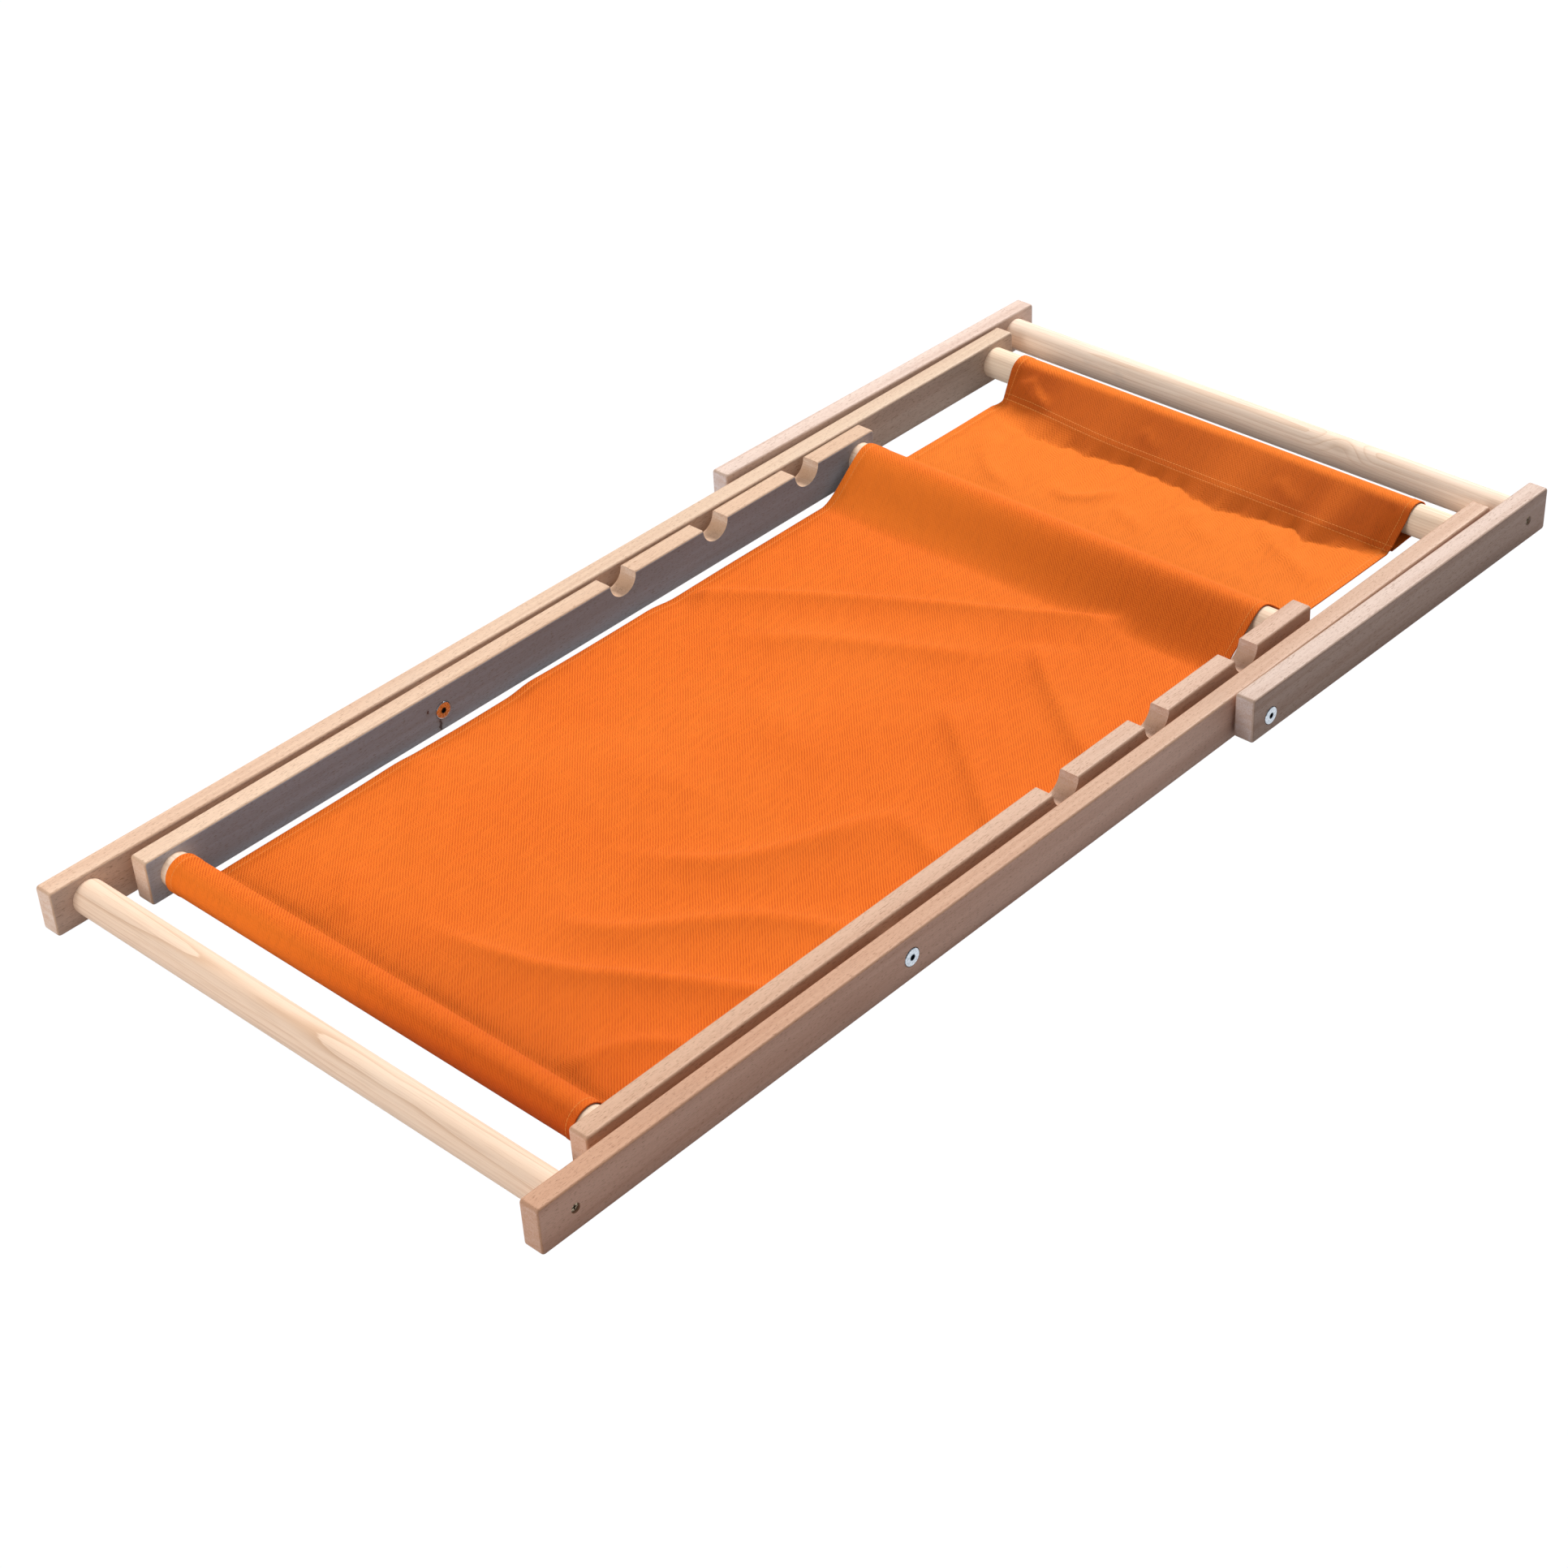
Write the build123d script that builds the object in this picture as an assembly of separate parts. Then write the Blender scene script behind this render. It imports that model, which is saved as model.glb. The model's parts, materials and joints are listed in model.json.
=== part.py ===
"""Folding deck chair in beech, laid flat: a back frame, a notched seat frame, a prop frame and a canvas sling.

Millimetres. X runs from the foot end to the head end, Y across (the sitter's left is -Y), Z up from the floor.
The origin is the centre of the footprint on the floor. Distances "along" are from the foot end of the back rails.
"""

import math
import os

from build123d import *

# Stock sizes
RAIL_THICKNESS = 18.0
RAIL_HEIGHT = 40.0
BAR_RADIUS = 14.5
SLING_WIDTH = 438.0
SLING_THICKNESS = 1.6

# The three frames, by distance along from the foot end of the back rails
BACK_LENGTH = 1114.0
SEAT_START = 68.5
SEAT_END = 888.0
PROP_START = 745.0
PROP_END = 1170.0
MAIN_PIVOT_ALONG = 365.0
PROP_PIVOT_ALONG = 769.0
FOOT_BAR_ALONG = 32.0
HEAD_BAR_ALONG = 1086.0
SEAT_FRONT_BAR_ALONG = 94.5
SEAT_REAR_BAR_ALONG = 868.0
PROP_BAR_ALONG = 1142.0
NOTCHES_ALONG = (571.0, 683.0, 799.0)

# Distances of the faces from the centre plane, inside to outside
SEAT_INNER = 227.0
SEAT_OUTER = SEAT_INNER + RAIL_THICKNESS
SEAT_TO_BACK_GAP = 7.0
BACK_INNER = SEAT_OUTER + SEAT_TO_BACK_GAP
BACK_OUTER = BACK_INNER + RAIL_THICKNESS
BACK_TO_PROP_GAP = 3.0
PROP_INNER = BACK_OUTER + BACK_TO_PROP_GAP
PROP_OUTER = PROP_INNER + RAIL_THICKNESS

# The pivot holes sit below the middle of the seat and prop rails, so those rails ride high at the pivot
# and the seat frame's front end and the prop frame's free end come to rest on the floor.
PIVOT_HEIGHT = RAIL_HEIGHT / 2
SEAT_HOLE_DROP = 1.5
PROP_HOLE_DROP = 5.0

# Rail details
END_RADIUS = 3.0
EDGE_EASE = 2.0
NOTCH_RADIUS = 15.0
NOTCH_CENTRE_BELOW_TOP = 1.0
SOCKET_DEPTH = 9.0
SOCKET_CLEARANCE = 0.1
SOCKET_END_GAP = 0.5
BAR_END_CHAMFER = 1.0

# Wood screws that hold the bars, driven from the rails' outer faces
SCREW_SHANK_RADIUS = 2.0
SCREW_HEAD_RADIUS = 3.6
SCREW_HEAD_HEIGHT = 2.4
SCREW_RECESS_RADIUS = 4.0
SCREW_RECESS_DEPTH = 4.0
SCREW_LENGTH = 38.0
SCREW_CLEARANCE = 0.05
CROSS_WIDTH = 1.1
CROSS_SPAN = 4.2
CROSS_DEPTH = 1.4

# Connector bolts and sleeve nuts at the pivots
HEAD_RADIUS = 7.5
HEAD_HEIGHT = 2.0
HEAD_ROUND = 0.8
HEAD_RECESS_RADIUS = 8.0
HEAD_RECESS_DEPTH = 1.4
HEX_ACROSS_FLATS = 4.0
HEX_DEPTH = 1.6
BOLT_RADIUS = 3.0
THREAD_CLEARANCE = 0.05
SLEEVE_RADIUS = 4.5
PIVOT_CLEARANCE = 0.1
SLEEVE_SHORT_OF_HEAD = 6.6
BOLT_SHORT_OF_NUT = 8.0
SPACER_RADIUS = 9.0
SPACER_END_GAP = 0.1

# The sling as it lies: on the floor between the bars, over the seat frame's rear bar
SLING_BAR_GAP = 0.4
SLING_REST_HEIGHT = 1.2
CREASE_GAP = 2.0
HUMP_SLOPE = 42.0
FLOOR_BEND_RADIUS = 22.0
POCKET_STITCH_INSET = 26.0
POCKET_RISE_RADIUS = 6.0
FRONT_POCKET_RUN = 34.0


def rest_tilt(reach, hole_drop):
    """Degrees a rail turns about its pivot for the rounded bottom corner, reach away, to touch the floor."""
    run = reach - END_RADIUS
    drop = PIVOT_HEIGHT - hole_drop - END_RADIUS
    full_drop = PIVOT_HEIGHT - END_RADIUS
    return math.degrees(math.asin(full_drop / math.hypot(run, drop)) - math.atan2(drop, run))


SEAT_REST_TILT = -rest_tilt(MAIN_PIVOT_ALONG - SEAT_START, SEAT_HOLE_DROP)
PROP_REST_TILT = rest_tilt(PROP_END - PROP_PIVOT_ALONG, PROP_HOLE_DROP)

# The chair runs from the back rails' foot ends to the upper corner of the tilted prop rails' free ends.
OVERALL_LENGTH = 1170.245
ORIGIN_ALONG = OVERALL_LENGTH / 2


def at(along, height=PIVOT_HEIGHT, across=0.0):
    """Location of a point given by its distance along, height above the floor and distance across."""
    return Pos(along - ORIGIN_ALONG, across, height)


def swung(shape, pivot_along, degrees):
    """Turns a shape about a pivot axis; positive lowers its head end."""
    pivot = at(pivot_along)
    return pivot * Rotation(0, degrees, 0) * pivot.inverse() * shape


def seat_tilt(shape):
    return swung(shape, MAIN_PIVOT_ALONG, SEAT_REST_TILT)


def prop_tilt(shape):
    return swung(shape, PROP_PIVOT_ALONG, PROP_REST_TILT)


def cross_cylinder(radius, along, height, start, end):
    """Cylinder across the chair from Y start to Y end."""
    middle = (start + end) / 2
    return at(along, height, middle) * Rotation(90, 0, 0) * Cylinder(radius, abs(end - start))


def rail_blank(start, end, height, inner, side):
    """A planed rail on edge, with rounded ends and eased edges, on one side (+1 or -1) of the centre plane."""
    profile = Plane.XZ * RectangleRounded(end - start, RAIL_HEIGHT, END_RADIUS)
    blank = extrude(profile, RAIL_THICKNESS / 2, both=True)
    faces = blank.faces().sort_by(Axis.Y)
    blank = fillet(faces[0].edges() + faces[-1].edges(), EDGE_EASE)
    middle = side * (inner + RAIL_THICKNESS / 2)
    return at((start + end) / 2, height, middle) * blank


def bar_seat(rail, along, height, inner, side):
    """Cuts a blind socket for a bar's end in a rail, with the screw hole and its recess behind it."""
    outer = inner + RAIL_THICKNESS
    socket_floor = inner + SOCKET_DEPTH
    socket = cross_cylinder(BAR_RADIUS + SOCKET_CLEARANCE, along, height, side * (inner - 1), side * socket_floor)
    hole = cross_cylinder(SCREW_SHANK_RADIUS + SCREW_CLEARANCE, along, height, side * inner, side * (outer + 1))
    recess_floor = outer - SCREW_RECESS_DEPTH
    recess = cross_cylinder(SCREW_RECESS_RADIUS, along, height, side * recess_floor, side * (outer + 1))
    return rail - socket - hole - recess


def pivot_hole(rail, along, inner, side):
    outer = inner + RAIL_THICKNESS
    return rail - cross_cylinder(
        SLEEVE_RADIUS + PIVOT_CLEARANCE, along, PIVOT_HEIGHT, side * (inner - 1), side * (outer + 1)
    )


def head_recess(rail, along, face, depth_sign, side):
    """Cuts the shallow recess for a pivot head in the rail face at distance face from the centre plane."""
    floor = face - depth_sign * HEAD_RECESS_DEPTH
    return rail - cross_cylinder(HEAD_RECESS_RADIUS, along, PIVOT_HEIGHT, side * floor, side * (face + depth_sign))


def back_rail(side):
    rail = rail_blank(0, BACK_LENGTH, PIVOT_HEIGHT, BACK_INNER, side)
    for along in (FOOT_BAR_ALONG, HEAD_BAR_ALONG):
        rail = bar_seat(rail, along, PIVOT_HEIGHT, BACK_INNER, side)
    for along in (MAIN_PIVOT_ALONG, PROP_PIVOT_ALONG):
        rail = pivot_hole(rail, along, BACK_INNER, side)
    rail = head_recess(rail, MAIN_PIVOT_ALONG, BACK_OUTER, 1, side)
    return head_recess(rail, PROP_PIVOT_ALONG, BACK_INNER, -1, side)


def seat_rail(side):
    height = PIVOT_HEIGHT + SEAT_HOLE_DROP
    rail = rail_blank(SEAT_START, SEAT_END, height, SEAT_INNER, side)
    for along in (SEAT_FRONT_BAR_ALONG, SEAT_REAR_BAR_ALONG):
        rail = bar_seat(rail, along, height, SEAT_INNER, side)
    rail = pivot_hole(rail, MAIN_PIVOT_ALONG, SEAT_INNER, side)
    rail = head_recess(rail, MAIN_PIVOT_ALONG, SEAT_INNER, -1, side)
    for along in NOTCHES_ALONG:
        rail -= notch(along, height + RAIL_HEIGHT / 2 - NOTCH_CENTRE_BELOW_TOP, side)
    return seat_tilt(rail)


def notch(along, centre_height, side):
    """Cutter for one rounded notch, open at the rail's top."""
    start, end = side * (SEAT_INNER - 1), side * (SEAT_OUTER + 1)
    round_bottom = cross_cylinder(NOTCH_RADIUS, along, centre_height, start, end)
    mouth = at(along, centre_height + NOTCH_RADIUS / 2, (start + end) / 2) * Box(
        2 * NOTCH_RADIUS, abs(end - start), NOTCH_RADIUS
    )
    return round_bottom + mouth


def prop_rail(side):
    height = PIVOT_HEIGHT + PROP_HOLE_DROP
    rail = rail_blank(PROP_START, PROP_END, height, PROP_INNER, side)
    rail = bar_seat(rail, PROP_BAR_ALONG, height, PROP_INNER, side)
    rail = pivot_hole(rail, PROP_PIVOT_ALONG, PROP_INNER, side)
    return prop_tilt(head_recess(rail, PROP_PIVOT_ALONG, PROP_OUTER, 1, side))


def bar(along, height, inner):
    """A round bar let into both rails, with chamfered ends and pilot holes for its screws."""
    reach = inner + SOCKET_DEPTH - SOCKET_END_GAP
    round_bar = cross_cylinder(BAR_RADIUS, along, height, -reach, reach)
    round_bar = chamfer(round_bar.edges().filter_by(GeomType.CIRCLE), BAR_END_CHAMFER)
    tip = screw_tip(inner)
    for side in (-1, 1):
        round_bar -= cross_cylinder(
            SCREW_SHANK_RADIUS + SCREW_CLEARANCE, along, height, side * (tip - 1), side * (reach + 1)
        )
    return round_bar


def screw_tip(inner):
    """Distance of a screw's tip from the centre plane, for a rail whose inner face is at inner."""
    return inner + RAIL_THICKNESS - SCREW_RECESS_DEPTH + SCREW_HEAD_HEIGHT - SCREW_LENGTH


def bar_screw(along, height, inner, side):
    """One countersunk cross-head wood screw, seated in its recess."""
    seat = inner + RAIL_THICKNESS - SCREW_RECESS_DEPTH
    shank = cross_cylinder(SCREW_SHANK_RADIUS, along, height, side * screw_tip(inner), side * (seat + 0.5))
    # A local +Z of (90, 0, 0) points along -Y, so the left side's head opens outwards without turning.
    outwards = Rotation(90, 0, 0) if side < 0 else Rotation(-90, 0, 0)
    head = Pos(0, 0, SCREW_HEAD_HEIGHT / 2) * Cone(SCREW_SHANK_RADIUS, SCREW_HEAD_RADIUS, SCREW_HEAD_HEIGHT)
    cross = Box(CROSS_SPAN, CROSS_WIDTH, 2 * CROSS_DEPTH) + Box(CROSS_WIDTH, CROSS_SPAN, 2 * CROSS_DEPTH)
    head -= Pos(0, 0, SCREW_HEAD_HEIGHT) * cross
    return shank + at(along, height, side * (seat + SCREW_CLEARANCE)) * outwards * head


def bar_screws(bars, inner, tilt=None):
    """All the screws of a frame, as separate solids of one shape. bars lists (along, height) pairs."""
    screws = [bar_screw(along, height, inner, side) for along, height in bars for side in (-1, 1)]
    if tilt:
        screws = [tilt(screw) for screw in screws]
    return Compound(children=screws)


def round_head(along, face, outward_sign, side):
    """A flat round head with a hex socket, seated in the recess of the rail face at distance face."""
    seat = face - outward_sign * HEAD_RECESS_DEPTH
    outwards = side * outward_sign
    turn = Rotation(90, 0, 0) if outwards < 0 else Rotation(-90, 0, 0)
    disc = Pos(0, 0, HEAD_HEIGHT / 2) * Cylinder(HEAD_RADIUS, HEAD_HEIGHT)
    disc = fillet(disc.edges().group_by(Axis.Z)[-1], HEAD_ROUND)
    hexagon = RegularPolygon(HEX_ACROSS_FLATS / 2, 6, major_radius=False)
    disc -= Pos(0, 0, HEAD_HEIGHT - HEX_DEPTH) * extrude(hexagon, HEX_DEPTH + 1)
    return at(along, PIVOT_HEIGHT, side * seat) * turn * disc


def pivot_bolt(along, inner, outer, side):
    """Connector bolt: its head is on the outer face and its shank screws into the sleeve nut."""
    seat = outer - HEAD_RECESS_DEPTH
    shank_end = inner + HEAD_RECESS_DEPTH + BOLT_SHORT_OF_NUT
    shank = cross_cylinder(BOLT_RADIUS, along, PIVOT_HEIGHT, side * shank_end, side * (seat + 0.2))
    return round_head(along, outer, 1, side) + shank


def sleeve_nut(along, inner, outer, side):
    """Sleeve nut: its head is on the inner face and its sleeve is the hinge pin."""
    seat = inner + HEAD_RECESS_DEPTH
    sleeve_end = outer - HEAD_RECESS_DEPTH - SLEEVE_SHORT_OF_HEAD
    sleeve = cross_cylinder(SLEEVE_RADIUS, along, PIVOT_HEIGHT, side * (seat - 0.2), side * sleeve_end)
    thread = cross_cylinder(
        BOLT_RADIUS + THREAD_CLEARANCE, along, PIVOT_HEIGHT, side * (seat + 1), side * (sleeve_end + 1)
    )
    return round_head(along, inner, -1, side) + (sleeve - thread)


def spacer(along, start, end, side):
    """Washer that keeps two rails apart at a pivot."""
    near, far = side * (start + SPACER_END_GAP), side * (end - SPACER_END_GAP)
    ring = cross_cylinder(SPACER_RADIUS, along, PIVOT_HEIGHT, near, far)
    return ring - cross_cylinder(SLEEVE_RADIUS + PIVOT_CLEARANCE, along, PIVOT_HEIGHT, 2 * near, 0)


def swung_point(along, height, pivot_along, degrees):
    """(along, height) of a point after the same turn that swung() gives a shape."""
    angle = math.radians(degrees)
    run, rise = along - pivot_along, height - PIVOT_HEIGHT
    return (
        pivot_along + run * math.cos(angle) + rise * math.sin(angle),
        PIVOT_HEIGHT - run * math.sin(angle) + rise * math.cos(angle),
    )


def seat_bar_centre(along):
    """Where a seat frame bar lies once the frame has its rest tilt."""
    return swung_point(along, PIVOT_HEIGHT + SEAT_HOLE_DROP, MAIN_PIVOT_ALONG, SEAT_REST_TILT)


def sling_solid(path_points, path_radii, ring_centre):
    """A pocket ring around a bar joined to a sheet that follows a path, given as (along, height) points."""
    ring_radius = BAR_RADIUS + SLING_BAR_GAP + SLING_THICKNESS / 2
    path = FilletPolyline(*[(a - ORIGIN_ALONG, h) for a, h in path_points], radius=path_radii)
    sheet = trace(path, SLING_THICKNESS)
    ring_at = Pos(ring_centre[0] - ORIGIN_ALONG, ring_centre[1])
    hollow = ring_at * Circle(ring_radius - SLING_THICKNESS / 2)
    ring = ring_at * Circle(ring_radius + SLING_THICKNESS / 2)
    section = (ring + sheet) - hollow
    return extrude(Plane.XZ * section, SLING_WIDTH / 2, both=True)


def sling_back():
    """The sling from the head bar's pocket, over the seat frame's rear bar, to the crease at the main pivot."""
    floor = SLING_REST_HEIGHT
    ring_radius = BAR_RADIUS + SLING_BAR_GAP + SLING_THICKNESS / 2
    rear_along, rear_height = seat_bar_centre(SEAT_REAR_BAR_ALONG)
    slope = math.radians(HUMP_SLOPE)
    apex_height = rear_height + ring_radius / math.cos(slope)
    half_hump = (apex_height - floor) / math.tan(slope)
    points = [
        (MAIN_PIVOT_ALONG + CREASE_GAP, floor),
        (rear_along - half_hump, floor),
        (rear_along, apex_height),
        (rear_along + half_hump, floor),
        (HEAD_BAR_ALONG - POCKET_STITCH_INSET, floor),
        (HEAD_BAR_ALONG - ring_radius, PIVOT_HEIGHT),
    ]
    radii = [FLOOR_BEND_RADIUS, ring_radius, FLOOR_BEND_RADIUS, POCKET_RISE_RADIUS]
    return sling_solid(points, radii, (HEAD_BAR_ALONG, PIVOT_HEIGHT))


def sling_seat():
    """The sling from the crease at the main pivot to the seat frame's front bar, which its pocket holds."""
    front_along, front_height = seat_bar_centre(SEAT_FRONT_BAR_ALONG)
    ring_bottom = front_height - (BAR_RADIUS + SLING_BAR_GAP + SLING_THICKNESS / 2)
    points = [
        (MAIN_PIVOT_ALONG - CREASE_GAP, SLING_REST_HEIGHT),
        (front_along + FRONT_POCKET_RUN, SLING_REST_HEIGHT),
        (front_along, ring_bottom),
    ]
    return sling_solid(points, [FLOOR_BEND_RADIUS], (front_along, front_height))


def build():
    """Every node's name and shape."""
    seat_height = PIVOT_HEIGHT + SEAT_HOLE_DROP
    prop_height = PIVOT_HEIGHT + PROP_HOLE_DROP
    back_bars = [(FOOT_BAR_ALONG, PIVOT_HEIGHT), (HEAD_BAR_ALONG, PIVOT_HEIGHT)]
    seat_bars = [(SEAT_FRONT_BAR_ALONG, seat_height), (SEAT_REAR_BAR_ALONG, seat_height)]
    prop_bars = [(PROP_BAR_ALONG, prop_height)]
    nodes = {
        "back_foot_bar": bar(FOOT_BAR_ALONG, PIVOT_HEIGHT, BACK_INNER),
        "back_head_bar": bar(HEAD_BAR_ALONG, PIVOT_HEIGHT, BACK_INNER),
        "back_bar_screws": bar_screws(back_bars, BACK_INNER),
        "seat_front_bar": seat_tilt(bar(SEAT_FRONT_BAR_ALONG, seat_height, SEAT_INNER)),
        "seat_rear_bar": seat_tilt(bar(SEAT_REAR_BAR_ALONG, seat_height, SEAT_INNER)),
        "seat_bar_screws": bar_screws(seat_bars, SEAT_INNER, seat_tilt),
        "prop_bar": prop_tilt(bar(PROP_BAR_ALONG, prop_height, PROP_INNER)),
        "prop_bar_screws": bar_screws(prop_bars, PROP_INNER, prop_tilt),
        "sling_back": sling_back(),
        "sling_seat": sling_seat(),
    }
    for name, side in (("left", -1), ("right", 1)):
        nodes[f"back_rail_{name}"] = back_rail(side)
        nodes[f"seat_rail_{name}"] = seat_rail(side)
        nodes[f"prop_rail_{name}"] = prop_rail(side)
        nodes[f"main_pivot_bolt_{name}"] = pivot_bolt(MAIN_PIVOT_ALONG, SEAT_INNER, BACK_OUTER, side)
        nodes[f"main_pivot_nut_{name}"] = sleeve_nut(MAIN_PIVOT_ALONG, SEAT_INNER, BACK_OUTER, side)
        nodes[f"main_pivot_spacer_{name}"] = spacer(MAIN_PIVOT_ALONG, SEAT_OUTER, BACK_INNER, side)
        nodes[f"prop_pivot_bolt_{name}"] = pivot_bolt(PROP_PIVOT_ALONG, BACK_INNER, PROP_OUTER, side)
        nodes[f"prop_pivot_nut_{name}"] = sleeve_nut(PROP_PIVOT_ALONG, BACK_INNER, PROP_OUTER, side)
        nodes[f"prop_pivot_washer_{name}"] = spacer(PROP_PIVOT_ALONG, BACK_OUTER, PROP_INNER, side)
    return nodes


os.makedirs("parts", exist_ok=True)
for node, shape in build().items():
    export_step(shape, f"parts/{node}.step")
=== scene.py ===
"""Looks for the folding deck chair: its materials, the sling, the floor, the light and the camera.

Metres. The frame has +X towards the head end, +Y towards the sitter's right and Z up from the floor.
"""

import json
import math

import bpy
import numpy as np
from mathutils import Matrix, Vector


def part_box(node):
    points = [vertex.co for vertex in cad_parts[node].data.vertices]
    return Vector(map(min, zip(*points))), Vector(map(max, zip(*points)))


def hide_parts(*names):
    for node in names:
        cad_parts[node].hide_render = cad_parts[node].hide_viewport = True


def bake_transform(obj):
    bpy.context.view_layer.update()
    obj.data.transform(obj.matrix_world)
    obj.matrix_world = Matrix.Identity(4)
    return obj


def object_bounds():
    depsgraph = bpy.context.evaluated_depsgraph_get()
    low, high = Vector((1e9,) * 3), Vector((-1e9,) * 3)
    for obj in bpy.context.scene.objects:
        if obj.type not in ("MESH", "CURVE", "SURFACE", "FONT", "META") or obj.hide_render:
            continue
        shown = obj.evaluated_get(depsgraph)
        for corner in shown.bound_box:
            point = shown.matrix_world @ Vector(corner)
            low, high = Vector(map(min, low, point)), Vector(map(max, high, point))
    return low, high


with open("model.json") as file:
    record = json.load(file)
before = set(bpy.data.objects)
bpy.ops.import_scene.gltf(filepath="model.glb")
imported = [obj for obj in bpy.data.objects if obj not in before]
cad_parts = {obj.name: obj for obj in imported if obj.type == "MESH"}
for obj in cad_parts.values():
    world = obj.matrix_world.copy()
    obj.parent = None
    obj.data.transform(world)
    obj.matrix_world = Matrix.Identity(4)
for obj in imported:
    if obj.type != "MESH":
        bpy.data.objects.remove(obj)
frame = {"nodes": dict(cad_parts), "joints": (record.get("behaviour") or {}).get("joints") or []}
cad_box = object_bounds()
joints = {joint["name"]: joint for joint in frame["joints"]}


# ---------------------------------------------------------------- node material helper

class Shader:
    """A node material being built. Each method that makes a node returns the socket or node it made."""

    def __init__(self, name):
        self.material = bpy.data.materials.new(name)
        self.material.use_nodes = True
        self.tree = self.material.node_tree
        self.surface = self.tree.nodes["Principled BSDF"]

    def node(self, kind, **settings):
        node = self.tree.nodes.new("ShaderNode" + kind)
        for key, value in settings.items():
            setattr(node, key, value)
        return node

    def put(self, socket, value):
        """Links a socket to another socket, or sets its value."""
        if isinstance(value, bpy.types.NodeSocket):
            self.tree.links.new(value, socket)
        elif isinstance(value, (tuple, list)) and len(value) == 3 and len(socket.default_value) == 4:
            socket.default_value = (*value, 1.0)
        else:
            socket.default_value = value

    def set(self, **inputs):
        """Sets inputs of the Principled shader; an underscore in a name stands for a space."""
        for key, value in inputs.items():
            self.put(self.surface.inputs[key.replace("_", " ")], value)

    def math(self, operation, a, b=0.0, clamp=False):
        node = self.node("Math", operation=operation, use_clamp=clamp)
        for socket, value in zip(node.inputs, (a, b)):
            self.put(socket, value)
        return node.outputs[0]

    def mix(self, factor, a, b, blend="MIX"):
        node = self.node("Mix", data_type="RGBA", blend_type=blend)
        self.put(node.inputs["Factor"], factor)
        self.put(node.inputs[6], a)
        self.put(node.inputs[7], b)
        return node.outputs[2]

    def remap(self, value, low, high, out_low=0.0, out_high=1.0):
        """Clamped smooth map of low..high to out_low..out_high."""
        node = self.node("MapRange", interpolation_type="SMOOTHSTEP")
        for socket, number in zip(node.inputs[1:5], (low, high, out_low, out_high)):
            self.put(socket, number)
        self.put(node.inputs[0], value)
        return node.outputs[0]

    def object_point(self):
        return self.node("TexCoord").outputs["Object"]

    def mapped(self, vector, scale=(1, 1, 1), location=(0, 0, 0), rotation=(0, 0, 0)):
        node = self.node("Mapping")
        self.put(node.inputs["Vector"], vector)
        node.inputs["Scale"].default_value = scale
        node.inputs["Location"].default_value = location
        node.inputs["Rotation"].default_value = rotation
        return node.outputs[0]

    def noise(self, vector, scale=1.0, detail=3.0, roughness=0.5, distortion=0.0):
        node = self.node("TexNoise")
        self.put(node.inputs["Vector"], vector)
        node.inputs["Scale"].default_value = scale
        node.inputs["Detail"].default_value = detail
        node.inputs["Roughness"].default_value = roughness
        node.inputs["Distortion"].default_value = distortion
        return node.outputs["Fac"]

    def split(self, vector):
        node = self.node("SeparateXYZ")
        self.put(node.inputs[0], vector)
        return node.outputs

    def join(self, x, y, z):
        node = self.node("CombineXYZ")
        for socket, value in zip(node.inputs, (x, y, z)):
            self.put(socket, value)
        return node.outputs[0]

    def distance_to(self, vector, point, scale=(1, 1, 1)):
        """Distance from a point, with each axis stretched by scale."""
        offset = self.mapped(vector, scale=scale, location=[-p * s for p, s in zip(point, scale)])
        node = self.node("VectorMath", operation="LENGTH")
        self.put(node.inputs[0], offset)
        return node.outputs["Value"]

    def bump(self, height, distance, strength=1.0, normal=None):
        node = self.node("Bump")
        self.put(node.inputs["Height"], height)
        node.inputs["Distance"].default_value = distance
        node.inputs["Strength"].default_value = strength
        if normal:
            self.put(node.inputs["Normal"], normal)
        return node.outputs[0]


def paint(nodes, material):
    for name in nodes:
        mesh = frame["nodes"][name].data
        mesh.materials.clear()
        mesh.materials.append(material)


# ---------------------------------------------------------------- wood

BEECH_LIGHT = (0.80, 0.548, 0.400)
BEECH_DARK = (0.68, 0.430, 0.300)
BEECH_FLECK = (0.40, 0.20, 0.11)
BEECH_END_LIT = (0.80, 0.60, 0.50)
BEECH_EDGE = (0.50, 0.28, 0.16)
BEECH_SMUDGE = (0.42, 0.34, 0.30)
PINE_LIGHT = (0.93, 0.71, 0.53)
PINE_BAND = (0.67, 0.42, 0.25)
PINE_FIBRE = (0.62, 0.39, 0.24)
PINE_CLOUD = (0.93, 0.80, 0.64)
PINE_KNOT = (0.45, 0.27, 0.15)
PINE_SMUDGE = (0.45, 0.38, 0.33)
KNOT = (0.10, 0.035, 0.02)
WOOD_SHINE = 0.35
BEECH_RELIEF = 0.00022
PINE_RELIEF = 0.00018
# How strongly a pine ring darkens towards its end: higher keeps the brown to a narrower line.
LATE_WOOD_POWER = 4.5
CRACK_RAGGEDNESS = 0.006
CRACK_DEPTH = 0.02


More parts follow.
